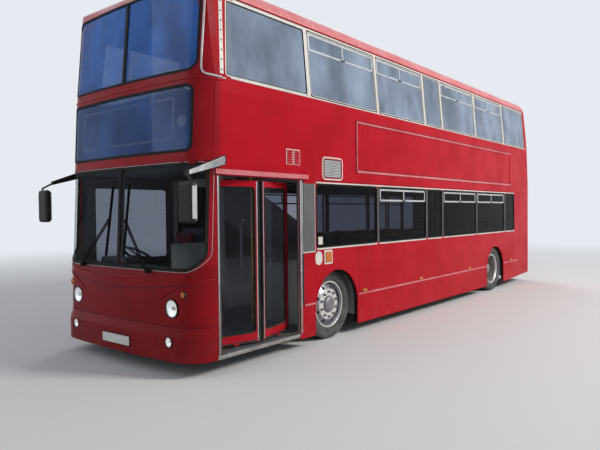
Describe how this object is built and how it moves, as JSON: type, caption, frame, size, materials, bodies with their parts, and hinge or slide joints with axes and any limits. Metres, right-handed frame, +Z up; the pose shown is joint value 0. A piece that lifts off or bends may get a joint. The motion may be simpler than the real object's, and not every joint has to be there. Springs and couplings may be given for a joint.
{
  "type": "double decker bus",
  "caption": "Two-deck city bus with a folding pair of front doors, stairs, seats on both decks, steered front wheels, twin rear wheels and an engine cover at the back.",
  "frame": {"origin": "on the ground, midway between the wheel tracks and midway along the bus", "axes": "+X to the front of the bus, +Y to its left (the door side), +Z up"},
  "size_m": [10.652, 2.932, 4.2252],
  "materials": {
    "red_paint": "glossy red coach paint",
    "glazing": "tinted safety glass",
    "black_trim": "moulded black",
    "tyre_rubber": "worn tread",
    "wheel_metal": "polished forged wheel",
    "chassis_steel": "black chassis paint",
    "seat_moquette": "woven moquette",
    "floor_vinyl": "flecked safety floor",
    "cabin_laminate": "pale laminate",
    "yellow_rail": "yellow powder coat",
    "clear_lamp": "clear lens over reflector",
    "red_lamp": "lamp lenses",
    "engine_casting": "bare casting"
  },
  "bodies": {
    "body": {"cab_partition": "cabin_laminate", "chassis_frame": "chassis_steel", "cross_members": "chassis_steel", "dashboard": "black_trim", "destination_panel": "red_paint", "driver_seat": "seat_moquette", "engine_block": "engine_casting", "front_axle_beam": "chassis_steel", "front_bumper": "red_paint", "front_glazing": "glazing", "front_lamps": "clear_lamp", "front_panel": "red_paint", "handrails": "yellow_rail", "left_lower_side": "red_paint", "left_upper_side": "red_paint", "lower_floor": "floor_vinyl", "lower_glazing": "glazing", "lower_seats": "seat_moquette", "mirrors": "black_trim", "rear_axle": "chassis_steel", "rear_bulkhead": "cabin_laminate", "rear_lamps": "red_lamp", "rear_lower": "red_paint", "rear_upper": "red_paint", "right_lower_side": "red_paint", "right_upper_side": "red_paint", "roof": "red_paint", "screen_pillars": "red_paint", "side_mouldings": "red_paint", "side_skirts": "red_paint", "stair_side": "cabin_laminate", "staircase": "floor_vinyl", "steering_wheel": "black_trim", "upper_floor": "floor_vinyl", "upper_front": "red_paint", "upper_glazing": "glazing", "upper_seats": "seat_moquette", "vent_frames": "black_trim", "wheel_boxes": "floor_vinyl", "wipers": "black_trim"},
    "knuckle_left": {"knuckle_left": "chassis_steel"},
    "knuckle_right": {"knuckle_right": "chassis_steel"},
    "track_rod": {"track_rod": "chassis_steel"},
    "wheel_front_left": {"wheel_front_left": "wheel_metal", "tyre_front_left": "tyre_rubber"},
    "wheel_front_right": {"wheel_front_right": "wheel_metal", "tyre_front_right": "tyre_rubber"},
    "wheels_rear_left": {"wheels_rear_left": "wheel_metal", "tyres_rear_left": "tyre_rubber"},
    "wheels_rear_right": {"wheels_rear_right": "wheel_metal", "tyres_rear_right": "tyre_rubber"},
    "door_arms_front": {"door_arms_front": "black_trim"},
    "door_arms_rear": {"door_arms_rear": "black_trim"},
    "door_leaf_front": {"door_leaf_front": "red_paint", "door_glass_front": "glazing"},
    "door_leaf_rear": {"door_leaf_rear": "red_paint", "door_glass_rear": "glazing"},
    "engine_cover": {"engine_cover": "red_paint"},
    "emergency_exit": {"emergency_exit": "red_paint", "exit_glass": "glazing"}
  },
  "joints": [
    {"name": "steer_left", "type": "hinge", "parent": "body", "child": "knuckle_left", "pos_m": [2.68, 0.93, 0.455], "axis": [0, 0, 1], "range_deg": [-40, 40]},
    {"name": "steer_right", "type": "hinge", "parent": "body", "child": "knuckle_right", "pos_m": [2.68, -0.93, 0.455], "axis": [0, 0, 1], "range_deg": [-40, 40]},
    {"name": "track_rod_pin", "type": "hinge", "parent": "knuckle_left", "child": "track_rod", "pos_m": [2.46, 0.82, 0.158], "axis": [0, 0, 1], "range_deg": [-44.8, 44.8]},
    {"name": "roll_front_left", "type": "hinge", "parent": "knuckle_left", "child": "wheel_front_left", "pos_m": [2.68, 1.012, 0.455], "axis": [0, 1, 0], "continuous": true},
    {"name": "roll_front_right", "type": "hinge", "parent": "knuckle_right", "child": "wheel_front_right", "pos_m": [2.68, -1.012, 0.455], "axis": [0, 1, 0], "continuous": true},
    {"name": "roll_rear_left", "type": "hinge", "parent": "body", "child": "wheels_rear_left", "pos_m": [-3.04, 1.068, 0.455], "axis": [0, 1, 0], "continuous": true},
    {"name": "roll_rear_right", "type": "hinge", "parent": "body", "child": "wheels_rear_right", "pos_m": [-3.04, -1.068, 0.455], "axis": [0, 1, 0], "continuous": true},
    {"name": "door_front_arms", "type": "hinge", "parent": "body", "child": "door_arms_front", "pos_m": [4.761, 1.241, 1.14], "axis": [0, 0, 1], "range_deg": [-14, 76]},
    {"name": "door_front_leaf", "type": "hinge", "parent": "door_arms_front", "child": "door_leaf_front", "pos_m": [4.46482, 1.16715, 1.13], "axis": [0, 0, 1], "range_deg": [-152, 28]},
    {"name": "door_rear_arms", "type": "hinge", "parent": "body", "child": "door_arms_rear", "pos_m": [3.474, 1.241, 1.14], "axis": [0, 0, -1], "range_deg": [-14, 76]},
    {"name": "door_rear_leaf", "type": "hinge", "parent": "door_arms_rear", "child": "door_leaf_rear", "pos_m": [3.77018, 1.16715, 1.13], "axis": [0, 0, -1], "range_deg": [-152, 28]},
    {"name": "engine_cover_hinge", "type": "hinge", "parent": "body", "child": "engine_cover", "pos_m": [-5.327, 0, 1.477], "axis": [0, 1, 0], "range_deg": [0, 85]},
    {"name": "emergency_exit_hinge", "type": "hinge", "parent": "body", "child": "emergency_exit", "pos_m": [-5.20844, -0.797, 3.48619], "axis": [0.0995, 0, 0.995], "range_deg": [0, 90]}
  ],
  "couplings": [
    {"joint": "steer_right", "follows": "steer_left", "ratio": 1},
    {"joint": "track_rod_pin", "follows": "steer_left", "ratio": -1.12},
    {"joint": "door_front_leaf", "follows": "door_front_arms", "ratio": -2},
    {"joint": "door_rear_arms", "follows": "door_front_arms", "ratio": 1},
    {"joint": "door_rear_leaf", "follows": "door_front_arms", "ratio": -2}
  ]
}
